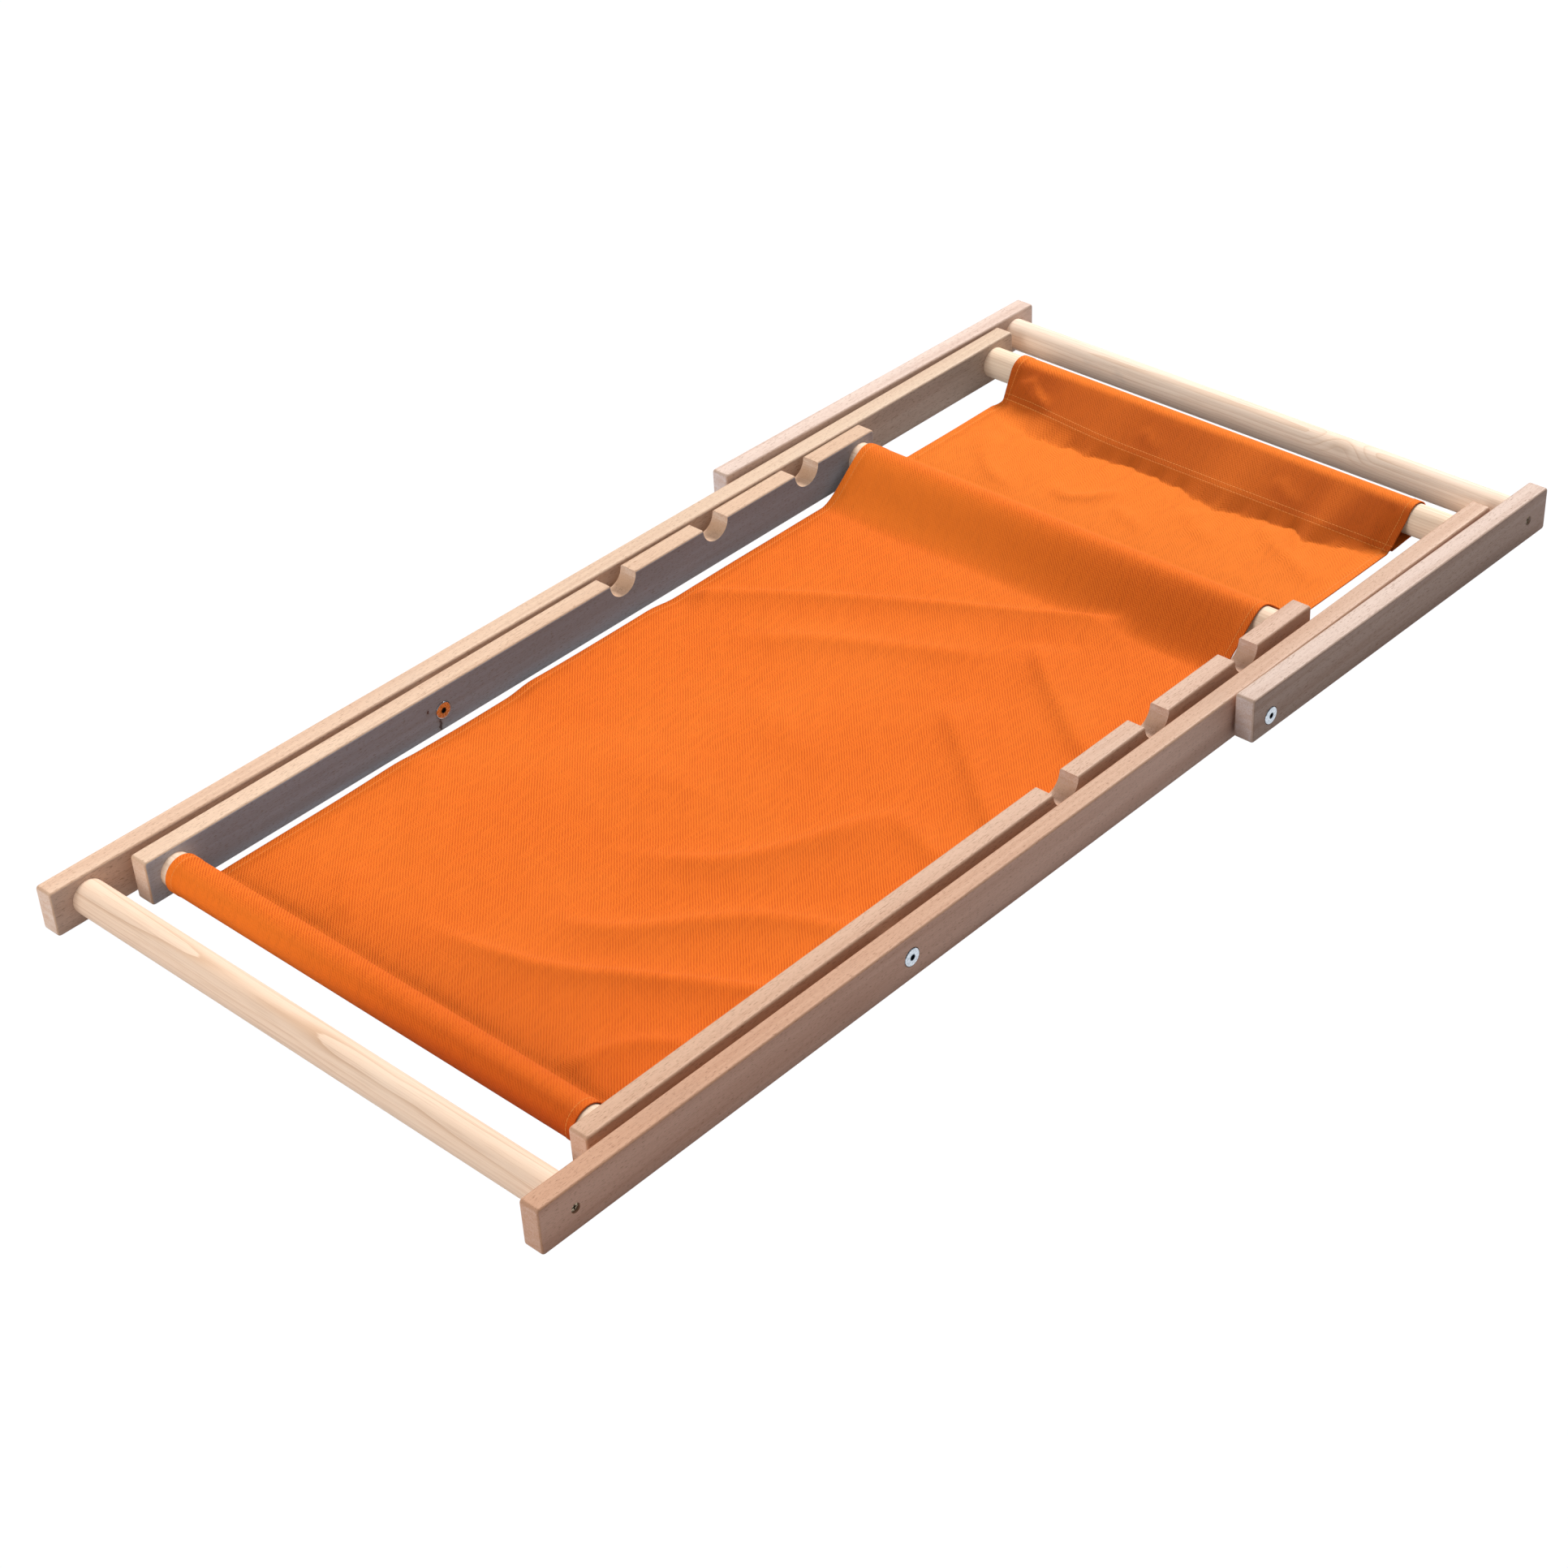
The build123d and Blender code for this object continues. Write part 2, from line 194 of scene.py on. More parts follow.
def beech(name, seed, tint, foot_tone_and_light, left_face_shade, cracks):
    """Planed beech with its grain along X: soft streaks, fine dark flecks, end grain painted pale, eased edges,
    and painted light and shade.

    tint is the rail's tint at its head end and foot_tone_and_light at its foot end, partly the wood's own tone
    and partly painted light. left_face_shade is painted light and shade on its left face alone, and is None
    where that face is like the others."""
    s = Shader(name)
    point = s.object_point()
    placed = s.mapped(point, location=(seed * 1.7, seed * 0.31, seed * 0.53))
    streaks = s.noise(s.mapped(placed, scale=(3, 130, 130)), detail=5, roughness=0.62, distortion=0.6)
    broad = s.noise(s.mapped(placed, scale=(1.6, 24, 24)), detail=3, roughness=0.5, distortion=1.0)
    fine = s.noise(s.mapped(placed, scale=(45, 1500, 1500)), detail=3, roughness=0.7)
    fleck = s.noise(s.mapped(placed, scale=(240, 1700, 1700)), detail=2, roughness=0.5)

    grain = s.math("ADD", s.math("MULTIPLY", streaks, 0.55), s.math("MULTIPLY", broad, 0.45))
    colour = s.mix(s.remap(grain, 0.36, 0.64), BEECH_DARK, BEECH_LIGHT)
    colour = s.mix(s.math("MULTIPLY", s.remap(fine, 0.45, 0.70), 0.50), colour, BEECH_DARK)
    fleck_share = s.math("MULTIPLY", s.remap(fleck, 0.57, 0.68), 0.70)
    colour = s.mix(fleck_share, colour, BEECH_FLECK)

    # End grain shows on faces that look along X, with dots in place of streaks. Its pale colour is partly
    # painted light on the end faces.
    normal = s.node("NewGeometry").outputs["True Normal"]
    face = s.node("VectorTransform", vector_type="NORMAL", convert_from="WORLD", convert_to="OBJECT")
    s.put(face.inputs[0], normal)
    nx, ny, nz = [s.math("ABSOLUTE", value) for value in s.split(face.outputs[0])]
    dots = s.noise(placed, scale=900, detail=3, roughness=0.7)
    rings = s.noise(s.mapped(placed, scale=(1, 60, 220)), detail=3, roughness=0.6)
    end_tone = s.math("ADD", s.math("MULTIPLY", dots, 0.6), s.math("MULTIPLY", rings, 0.4))
    end_colour = s.mix(s.remap(end_tone, 0.38, 0.62), BEECH_DARK, BEECH_END_LIT)
    colour = s.mix(s.remap(nx, 0.75, 0.95), colour, end_colour)

    # Eased edges are the faces that look along no axis; they are made a little darker and browner.
    flattest = s.math("MAXIMUM", s.math("MAXIMUM", nx, ny), nz)
    edge = s.remap(flattest, 0.99, 0.90)
    colour = s.mix(s.math("MULTIPLY", edge, 0.40), colour, BEECH_EDGE)

    # Handling marks: faint grey smudges.
    smudge = s.noise(placed, scale=9, detail=4, roughness=0.6)
    colour = s.mix(s.math("MULTIPLY", s.remap(smudge, 0.55, 0.75), 0.12), colour, BEECH_SMUDGE)
    for place, size in cracks:
        colour = crack(s, colour, point, place, size)
    # The rail's tint changes from its head end to its foot end, painting in light as well as the wood's tone.
    towards_foot = s.remap(s.split(point)[0], 0.45, -0.55)
    colour = s.mix(1.0, colour, s.mix(towards_foot, tint, foot_tone_and_light), blend="MULTIPLY")
    # Painted light and shade on the left face alone.
    if left_face_shade:
        left_face = s.remap(s.split(face.outputs[0])[1], -0.80, -0.95)
        colour = s.mix(left_face, colour, s.mix(1.0, colour, left_face_shade, blend="MULTIPLY"))

    height = s.math("ADD", s.math("MULTIPLY", fine, 0.5), s.math("MULTIPLY", streaks, 0.5))
    height = s.math("SUBTRACT", height, s.math("MULTIPLY", fleck_share, 0.6))
    roughness = s.remap(streaks, 0.3, 0.7, 0.62, 0.50)
    s.set(Base_Color=colour, Roughness=roughness, Specular_IOR_Level=WOOD_SHINE,
          Normal=s.bump(height, BEECH_RELIEF, 0.6))
    return s.material


def crack(s, colour, point, place, size):
    """A small dark knot with a ragged upright split."""
    wobble = s.noise(point, scale=260, detail=3)
    shifted = s.node("VectorMath", operation="MULTIPLY_ADD")
    s.put(shifted.inputs[0], s.join(wobble, 0.0, 0.0))
    shifted.inputs[1].default_value = (CRACK_RAGGEDNESS, 0, 0)
    s.put(shifted.inputs[2], point)
    centre = (place[0] + CRACK_RAGGEDNESS / 2, place[1], place[2])
    near = s.distance_to(shifted.outputs[0], centre, (1 / size[0], 1 / CRACK_DEPTH, 1 / size[1]))
    halo = s.remap(near, 3.0, 0.8)
    core = s.remap(near, 1.15, 0.75)
    colour = s.mix(s.math("MULTIPLY", halo, 0.35), colour, BEECH_FLECK)
    return s.mix(core, colour, KNOT)


def pine(name, centre, heart, ring_gap, seed, tint, knots):
    """A turned pine bar, grain along Y. heart is where the tree's middle lies, from the bar's axis."""
    s = Shader(name)
    point = s.object_point()
    local = s.mapped(point, location=(-centre[0] - heart[0], seed * 0.37, -centre[2] - heart[1]))
    warp = s.noise(s.mapped(local, scale=(14, 2.2, 14)), detail=3, roughness=0.55)
    x, y, z = s.split(local)
    leaning_x = s.math("ADD", x, s.math("MULTIPLY", y, 0.012))
    radius = s.math("SQRT", s.math("ADD", s.math("POWER", leaning_x, 2.0), s.math("POWER", z, 2.0)))
    radius = s.math("ADD", radius, s.math("MULTIPLY", warp, 0.012))
    for place, size in knots:
        near = s.distance_to(point, place, (1 / size, 0.45 / size, 1 / size))
        radius = s.math("ADD", radius, s.math("MULTIPLY", s.remap(near, 2.6, 0.0), 0.008))
    turns = s.math("DIVIDE", radius, ring_gap)
    phase = s.math("FRACT", turns)
    # Each ring darkens slowly through the year and ends in a sharp brown line.
    late = s.math("POWER", phase, LATE_WOOD_POWER)
    sharp = s.remap(phase, 0.97, 1.0, 1.0, 0.0)
    band = s.math("MULTIPLY", late, sharp)
    ring_tone = s.noise(s.mapped(s.join(turns, 0.0, 0.0), scale=(0.9, 1, 1)), detail=2)
    band = s.math("MULTIPLY", band, s.remap(ring_tone, 0.3, 0.7, 0.25, 0.85))
    colour = s.mix(band, PINE_LIGHT, PINE_BAND)
    fibre = s.noise(s.mapped(local, scale=(900, 14, 900)), detail=3, roughness=0.7)
    colour = s.mix(s.math("MULTIPLY", s.remap(fibre, 0.45, 0.72), 0.42), colour, PINE_FIBRE)
    cloud = s.noise(s.mapped(local, scale=(30, 5, 30)), detail=3)
    colour = s.mix(s.math("MULTIPLY", s.remap(cloud, 0.45, 0.7), 0.30), colour, PINE_CLOUD)
    for place, size in knots:
        near = s.distance_to(point, place, (1 / size, 0.6 / size, 1 / size))
        colour = s.mix(s.math("MULTIPLY", s.remap(near, 1.3, 0.5), 0.25), colour, PINE_KNOT)
    smudge = s.noise(s.mapped(point, scale=(30, 12, 30)), detail=4, roughness=0.65)
    colour = s.mix(s.math("MULTIPLY", s.remap(smudge, 0.62, 0.78), 0.35), colour, PINE_SMUDGE)
    colour = s.mix(1.0, colour, tint, blend="MULTIPLY")
    height = s.math("ADD", s.math("MULTIPLY", fibre, 0.7), s.math("MULTIPLY", band, 0.5))
    s.set(Base_Color=colour, Roughness=s.remap(fibre, 0.3, 0.7, 0.50, 0.62), Specular_IOR_Level=WOOD_SHINE,
          Normal=s.bump(height, PINE_RELIEF, 0.6))
    return s.material


def centre_of(node):
    low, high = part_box(node)
    return (low + high) / 2


def paint_wood():
    pivot = Vector(joints["seat_fold"]["pos_m"])
    seat_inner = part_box("seat_rail_right")[0].y
    split_under_nut = ((pivot.x - 0.0045, seat_inner, pivot.z - 0.0125), (0.0016, 0.0060))
    near_speck = ((pivot.x - 0.016, seat_inner, pivot.z + 0.006), (0.0012, 0.0016))
    # Each rail's tint towards its head end and towards its foot end: partly the wood's own tone and partly
    # painted light, brighter on the right rails, darker on the left ones and at the left back rail's foot end,
    # and whiter on the prop rails as a painted reflection.
    rail_tints_and_light = {
        "back_rail_left": ((0.89, 0.86, 0.83), (0.87, 0.73, 0.64)),
        "back_rail_right": ((0.96, 1.05, 1.05), (1.10, 1.13, 1.12)),
        "seat_rail_left": ((0.92, 0.91, 0.93), (0.94, 0.87, 0.81)),
        "seat_rail_right": ((1.02, 1.06, 1.02), (1.10, 1.16, 1.15)),
        "prop_rail_left": ((0.89, 0.98, 1.11), (0.89, 0.98, 1.11)),
        "prop_rail_right": ((1.03, 1.18, 1.38), (1.03, 1.18, 1.38)),
    }
    # Painted light and shade on each rail's left face: a bluish shade on the right seat rail's inner face, a
    # darker left face on the left prop rail, a lighter one on the left back rail and a slightly darker, bluer
    # one on the right back rail.
    left_face_shades = {
        "seat_rail_right": (0.72, 0.98, 1.48),
        "prop_rail_left": (0.60, 0.53, 0.49),
        "back_rail_left": (1.09, 1.11, 1.24),
        "back_rail_right": (0.92, 0.95, 1.04),
    }
    for seed, (node, (tint, foot_tone_and_light)) in enumerate(sorted(rail_tints_and_light.items())):
        cracks = (split_under_nut, near_speck) if node == "seat_rail_right" else ()
        paint([node], beech("beech_" + node, seed + 1, tint, foot_tone_and_light, left_face_shades.get(node), cracks))
    prop = centre_of("prop_bar")
    cream = (1.07, 1.03, 1.02)
    # Each bar: where the tree's middle lies from the bar's axis, the ring spacing, the tint and the knots.
    bars = {
        "back_foot_bar": ((0.020, -0.045), 0.0027, cream, []),
        "back_head_bar": ((-0.030, -0.028), 0.0026, (1.08, 1.08, 1.07), []),
        "seat_front_bar": ((0.035, -0.030), 0.0030, cream, []),
        "seat_rear_bar": ((0.030, 0.040), 0.0030, cream, []),
        "prop_bar": ((-0.012, 0.060), 0.0030, (1.06, 1.07, 1.12),
                     [((prop.x - 0.008, -0.105, prop.z + 0.012), 0.007)]),
    }
    for seed, (node, (heart, gap, tint, knots)) in enumerate(sorted(bars.items())):
        paint([node], pine("pine_" + node, centre_of(node), heart, gap, seed + 1, tint, knots))


# ---------------------------------------------------------------- metal and nylon

ZINC_DARK = (0.34, 0.39, 0.44)
ZINC_LIGHT = (0.56, 0.61, 0.66)
SCREW_DARK = (0.20, 0.15, 0.10)
SCREW_LIGHT = (0.46, 0.39, 0.28)
NYLON_DARK = (0.74, 0.72, 0.67)
NYLON_LIGHT = (0.82, 0.80, 0.76)
SOCKET_RADIUS = 0.0027
SOCKET_BLUR = 0.0002
SOCKET_SHADE = (0.06, 0.08, 0.10)


def zinc(name):
    """Bright zinc plate: slight mottling, turning marks and a bluish tone."""
    s = Shader(name)
    point = s.object_point()
    mottle = s.noise(point, scale=700, detail=4, roughness=0.6)
    scratch = s.noise(s.mapped(point, scale=(900, 900, 5200)), detail=3)
    colour = s.mix(s.remap(mottle, 0.35, 0.65), ZINC_DARK, ZINC_LIGHT)
    # Painted shade darkens the hexagon sockets in the middle of the heads.
    for pivot in joints.values():
        from_axis = s.distance_to(point, pivot["pos_m"], (1, 0, 1))
        socket = s.remap(from_axis, SOCKET_RADIUS + SOCKET_BLUR, SOCKET_RADIUS - SOCKET_BLUR)
        colour = s.mix(socket, colour, SOCKET_SHADE)
    roughness = s.remap(mottle, 0.3, 0.7, 0.20, 0.36)
    s.set(Base_Color=colour, Metallic=1.0, Roughness=roughness, Normal=s.bump(scratch, 0.00004, 0.5))
    return s.material


def dull_screw(name):
    """Tarnished steel, brown in its hollows."""
    s = Shader(name)
    point = s.object_point()
    tarnish = s.noise(point, scale=600, detail=4, roughness=0.7)
    colour = s.mix(s.remap(tarnish, 0.4, 0.65), SCREW_DARK, SCREW_LIGHT)
    s.set(Base_Color=colour, Metallic=0.9, Roughness=s.remap(tarnish, 0.3, 0.7, 0.55, 0.35),
          Normal=s.bump(tarnish, 0.00005, 0.5))
    return s.material


def nylon(name):
    """Natural nylon: milky and faintly speckled."""
    s = Shader(name)
    point = s.object_point()
    speck = s.noise(point, scale=500, detail=3)
    colour = s.mix(s.remap(speck, 0.35, 0.65), NYLON_DARK, NYLON_LIGHT)
    s.set(Base_Color=colour, Roughness=0.45, Subsurface_Weight=0.1, Subsurface_Scale=0.002,
          Normal=s.bump(speck, 0.00004, 0.4))
    return s.material


def paint_hardware():
    names = list(frame["nodes"])
    paint([n for n in names if "_bolt_" in n or "_nut_" in n], zinc("zinc_plate"))
    paint([n for n in names if n.endswith("_screws")], dull_screw("dull_screw"))
    paint([n for n in names if "_spacer_" in n or "_washer_" in n], nylon("nylon"))


# ---------------------------------------------------------------- sling shape

SLING_HALF_WIDTH = 0.219
CLOTH = 0.0009
HEM = 0.0085
HEM_RISE = 0.0004
STITCH_ROWS_APART = 0.0052
UV_SPAN = 1.25
# How far the cloth's middle lies from a bar's surface and from the floor, and where its tucked edges lie.
WRAP_RADIUS_GAP = 0.0006
FLOOR_LIFT = 0.0016
TUCKED_LIFT = 0.85 * FLOOR_LIFT
# The head pocket's seam, from the bar's axis: its place at the left, how much nearer it comes at the right, and
# how far it is drawn towards the foot end as it lifts.
SEAM_INSET = 0.0330
SEAM_INSET_CHANGE = 0.010
SEAM_DRAW = 1.385
SEAM_CLEARANCE = 0.0004
POCKET_STIFFNESS = 1.3
TUCK_LENGTH = 0.0015
TUCK_DEPTH = 1.15 * CLOTH
SKIRT_STEEPENING = math.radians(6)
# The hump over the rear bar: where the cloth leaves the floor on either side, and the angle from the top at
# which it leaves the bar.
HUMP_HEAD_REACH = 0.058
HUMP_FOOT_REACH = 0.062
HUMP_LEAVES = 19
# The front bar: where the cloth rises from the floor, the angle it meets the bar at, and how far its edge is
# tucked under.
FRONT_RISE = 0.036
FRONT_MEETS = -14
FRONT_TUCK = 0.030
# How strongly a curve holds its direction where it joins a bar.
TUCK_PULL = 0.02
REAR_PULL = 0.03
MAIN_PULL = 0.2


def hermite(start, start_slope, end, end_slope, count):
    """Smooth curve from start to end, without the start point. Slopes are vectors in (x, z)."""
    t = np.linspace(0, 1, count + 1)[1:, None]
    h00, h10 = 2 * t**3 - 3 * t**2 + 1, t**3 - 2 * t**2 + t
    h01, h11 = -2 * t**3 + 3 * t**2, t**3 - t**2
    start, end = np.array(start), np.array(end)
    return h00 * start + h10 * np.array(start_slope) + h01 * end + h11 * np.array(end_slope)


def arc(centre, radius, start_deg, end_deg, count):
    """Arc points, the first included. Angles turn from +X towards +Z."""
    angle = np.radians(np.linspace(start_deg, end_deg, count))
    return np.array(centre) + radius * np.stack([np.cos(angle), np.sin(angle)], 1)


def leave(centre, radius, degrees, touch, reach, count, turn):
    """From a bar's surface at an angle, along its tangent, down to the floor at x = touch.

    turn is +1 for anticlockwise travel round the bar and -1 for clockwise."""
    a = math.radians(degrees)
    start = (centre[0] + radius * math.cos(a), centre[1] + radius * math.sin(a))
    tangent = np.array([-math.sin(a), math.cos(a)]) * turn * reach
    heading = 1 if touch > start[0] else -1
    return hermite(start, tangent, (touch, FLOOR_LIFT), (heading * reach, 0), count)


class SlingPlan:
    """Where the sling runs, read from the frame's bars."""

    def __init__(self):
        self.head = centre_of("back_head_bar")
        self.rear = centre_of("seat_rear_bar")
        self.front = centre_of("seat_front_bar")
        low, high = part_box("back_head_bar")
        self.bar_radius = (high.z - low.z) / 2
        self.radius = self.bar_radius + WRAP_RADIUS_GAP + CLOTH / 2

    def head_seam(self, y):
        """Where the head pocket's seam lies at y: its ends lie low, and its middle stands off the floor."""
        inset = SEAM_INSET - SEAM_INSET_CHANGE * ease((y - 0.060) / 0.150)
        lift = between(y * 1000, SEAM_Y, SEAM_LIFT) / 1000
        return np.array([self.head.x - inset - SEAM_DRAW * lift, FLOOR_LIFT + SEAM_CLEARANCE + lift])

    def column(self, y):
        """The path of the sling at y, from its edge under the head bar to its edge under the front bar.

        Returns points (x, z), and the index where each stretch starts."""
        parts = self.pocket(y)
        touch = parts[-1][-1][0]
        parts += self.hump(touch)
        parts += self.front_wrap(parts[-1][-1][0])
        starts = np.cumsum([0] + [len(part) for part in parts])
        return np.concatenate(parts), starts

    def pocket(self, y):
        """Round the head bar, straight to the seam, then down to the floor."""
        head, r = np.array((self.head.x, self.head.z)), self.radius
        seam = self.head_seam(y)
        away = head - seam
        slope = math.atan2(away[1], away[0]) + math.asin(r / np.hypot(*away))
        along = np.array([math.cos(slope), math.sin(slope)])
        outward = np.array([-math.sin(slope), math.cos(slope)])
        second_row = seam + STITCH_ROWS_APART * along
        leave_bar = math.degrees(slope) + 90
        start = head + r * np.array([math.cos(math.radians(leave_bar)), math.sin(math.radians(leave_bar))])
        stiff = np.hypot(*(second_row - start)) * POCKET_STIFFNESS
        tucked = seam - TUCK_LENGTH * along - TUCK_DEPTH * outward
        tucked[1] = max(tucked[1], TUCKED_LIFT)
        ripple = 2.2 * math.sin(210 * y + 0.6) + 1.4 * math.sin(470 * y + 2.0)
        reach = (between(y * 1000, SEAM_Y, SKIRT_REACH) + ripple) / 1000
        steeper = slope + SKIRT_STEEPENING
        skirt = reach * np.array([math.cos(steeper), math.sin(steeper)])
        doubled = seam + (second_row - seam) * np.array([0.75, 0.5, 0.25])[:, None]
        return [
            hermite(tucked, (TUCK_PULL, 0), (head[0], head[1] - r), (TUCK_PULL, 0), 6),
            arc(head, r, -90, leave_bar, 26)[1:],
            hermite(start, -along * stiff, second_row, -along * stiff, 8),
            np.concatenate([doubled, [seam]]),
            hermite(seam, -skirt, (seam[0] - reach, FLOOR_LIFT), (-0.5 * reach, 0), 14),
        ]

    def hump(self, touch):
        """Along the floor from x = touch, then over the rear bar and down to the floor again."""
        rear, r = (self.rear.x, self.rear.z), self.radius
        hump_head = rear[0] + HUMP_HEAD_REACH
        hump_foot = rear[0] - HUMP_FOOT_REACH
        climb = leave(rear, r, 90 - HUMP_LEAVES, hump_head, 0.045, 18, -1)
        return [
            hermite((touch, FLOOR_LIFT), (-REAR_PULL, 0), (hump_head, FLOOR_LIFT), (-REAR_PULL, 0), 26),
            climb[::-1][1:],
            arc(rear, r, 90 - HUMP_LEAVES, 90 + HUMP_LEAVES, 8),
            leave(rear, r, 90 + HUMP_LEAVES, hump_foot, 0.046, 20, 1),
        ]

    def front_wrap(self, hump_foot):
        """Along the floor from the hump, then over and round the front bar."""
        front, r = (self.front.x, self.front.z), self.radius
        rise = front[0] + FRONT_RISE
        tucked = (front[0] + FRONT_TUCK, TUCKED_LIFT)
        return [
            hermite((hump_foot, FLOOR_LIFT), (-MAIN_PULL, 0), (rise, FLOOR_LIFT), (-MAIN_PULL, 0), 150),
            leave(front, r, FRONT_MEETS, rise, 0.026, 10, -1)[::-1][1:],
            arc(front, r, FRONT_MEETS, 270, 28),
            hermite((front[0], front[1] - r), (TUCK_PULL, 0), tucked, (TUCK_PULL, 0), 6),
        ]

    def left_inset(self, starts):
        """How far the left edge is drawn in at each row."""
        keys = [(0, 0.0070), (starts[1], 0.0050), (starts[1] + 16, 0.0035), (starts[2], 0.0035),
                (starts[4], 0.0075), (starts[5], 0.0065), (starts[7], 0.0075), (starts[9], 0.0070),
                (starts[9] + 90, 0.0010), (starts[-1], 0.0)]
        rows, values = zip(*keys)
        return np.interp(np.arange(starts[-1]), rows, values)


# Folds that lie in the sling. Each is a crest through plan points, then its height, how far it reaches to the
# right of the crest and to the left, and the shares of its length over which it rises and dies away. Lengths
# are in millimetres, and plan points are measured from the chair's foot end and from its middle.
FLOOR_FOLDS = [
    ([(628, 216), (655, 175), (700, 108), (745, 32), (785, -42), (813, -92), (832, -126)],
     9.0, 38, 7, 0.10, 0.20),
    ([(590, 160), (625, 105), (655, 60), (680, 10), (705, -35), (735, -70)], 5.0, 22, 17, 0.3, 0.3),
    ([(182, 75), (184, 20), (192, -30), (208, -75), (235, -120), (262, -165), (290, -216)],
     8.0, 30, 9, 0.35, 0.05),
    ([(250, 5), (252, -40), (270, -75), (305, -105), (338, -135), (362, -175), (378, -216)],
     6.2, 26, 12, 0.3, 0.05),
    ([(338, 15), (350, -35), (378, -75), (420, -100), (462, -117), (492, -128), (520, -136)],
     7.2, 30, 12, 0.3, 0.4),
    ([(505, -115), (494, -150), (486, -180), (478, -216)], 5.0, 16, 12, 0.35, 0.1),
    ([(205, 145), (180, 128), (158, 112), (142, 92)], 3.4, 15, 9, 0.3, 0.4),
    ([(760, -70), (735, -88), (695, -140), (660, -190), (645, -216)], 7.0, 14, 24, 0.3, 0.05),
    ([(650, -60), (625, -88), (585, -140), (545, -190), (530, -216)], 6.6, 14, 26, 0.3, 0.05),
    ([(620, 222), (575, 212), (520, 208), (465, 212), (425, 222)], 3.6, 14, 22, 0.2, 0.2),
    ([(130, -150), (165, -158), (195, -180), (212, -216)], 4.0, 16, 10, 0.2, 0.1),
    ([(330, 216), (300, 170), (255, 130), (215, 110)], 3.2, 28, 22, 0.1, 0.4),
    ([(565, 70), (540, 25), (522, -20), (515, -70)], 3.0, 28, 20, 0.4, 0.4),
    ([(440, 150), (420, 90), (425, 30), (445, -30)], 2.6, 34, 30, 0.4, 0.4),
]
REAR_FOLDS = [
    ([(1012, 192), (975, 170), (948, 140), (936, 105)], 3.4, 9, 9, 0.2, 0.3),
    ([(975, 88), (956, 64), (974, 40), (1002, 26)], 3.4, 6, 6, 0.25, 0.3),
    ([(970, 25), (960, -5), (944, -35)], 2.6, 6, 7, 0.3, 0.4),
    ([(1030, -100), (1002, -128), (985, -165), (962, -205)], 3.8, 12, 10, 0.2, 0.3),
    ([(1010, -30), (985, -60), (965, -100)], 2.8, 12, 14, 0.3, 0.4),
]
# Creases in the head pocket's face: plan points are the distance above the seam and the place across.
POCKET_FOLDS = [
    ([(24, 203), (16, 196), (8, 184), (3, 172)], 3.2, 3.4, 3.0, 0.25, 0.3),
    ([(30, 196), (20, 188), (9, 170), (4, 158)], 2.8, 3.8, 3.4, 0.25, 0.3),
    ([(28, 60), (18, 48), (8, 30)], 0.9, 5, 5, 0.3, 0.3),
    ([(30, -88), (18, -100), (7, -126)], 1.0, 6, 5, 0.3, 0.3),
]
# Across the sling, in millimetres: how high the head pocket's seam stands, and how far from the seam the cloth
# reaches the floor.
SEAM_Y = (-219, -190, -150, -130, -100, -50, 0, 50, 100, 150, 200, 219)
SEAM_LIFT = (0.3, 5.5, 10.5, 8.0, 9.0, 11.5, 9.0, 8.5, 10.5, 11.0, 7.5, 1.5)
SKIRT_REACH = (7, 11, 17, 11, 13, 20, 13, 11, 17, 26, 27, 17)
# Unevenness: waves in radians per metre along and across, phase, and height in millimetres.
WAVES = ((31, 17, 0.4, 0.5), (13, 41, 1.9, 0.4), (52, 29, 3.1, 0.25), (23, -37, 5.0, 0.4))
REAR_WAVES = 0.6


def through(points, count):
    """A smooth curve through plan points, with count steps from each to the next."""
    points = np.array(points, float)
    padded = np.concatenate([[2 * points[0] - points[1]], points, [2 * points[-1] - points[-2]]])
    curve = []
    for a, b, c, d in zip(padded, padded[1:], padded[2:], padded[3:]):
        for t in np.linspace(0, 1, count, endpoint=False):
            curve.append(0.5 * (2 * b + (c - a) * t + (2 * a - 5 * b + 4 * c - d) * t**2
                                + (3 * b - a - 3 * c + d) * t**3))
    return np.array(curve + [points[-1]])


def ease(value):
    """Smooth step from 0 at 0 to 1 at 1."""
    value = np.clip(value, 0, 1)
    return value * value * (3 - 2 * value)


def between(value, keys, values):
    """Smooth steps from each key's value to the next."""
    i = int(np.clip(np.searchsorted(keys, value) - 1, 0, len(keys) - 2))
    share = ease((value - keys[i]) / (keys[i + 1] - keys[i]))
    return values[i] + share * (values[i + 1] - values[i])


def fold_height(u, v, folds):
    """Height in metres of the folds at plan positions (u, v), which are in millimetres."""
    total = np.zeros_like(u)
    for points, height, right, left, rise, fall in folds:
        curve = through(points, 6)
        best = np.full(u.shape, 1e9)
        signed, share = np.zeros_like(u), np.zeros_like(u)
        for i, (a, b) in enumerate(zip(curve, curve[1:])):
            run = b - a
            t = np.clip(((u - a[0]) * run[0] + (v - a[1]) * run[1]) / (run @ run), 0, 1)
            du, dv = u - a[0] - t * run[0], v - a[1] - t * run[1]
            distance = np.hypot(du, dv)
            nearer = distance < best
            best = np.where(nearer, distance, best)
            signed = np.where(nearer, np.sign(run[0] * dv - run[1] * du), signed)
            share = np.where(nearer, (i + t) / (len(curve) - 1), share)
        reach = np.where(signed < 0, right, left)
        soft = 0.16 * min(right, left) + 0.8
        profile = np.exp(-(np.sqrt(best**2 + soft**2) - soft) / reach * 1.25)
        profile *= ease(2.2 - best / reach / 1.6)
        ends = ease(share / max(rise, 1e-3)) * ease((1 - share) / max(fall, 1e-3))
        total += height / 1000 * ends * profile
    return total


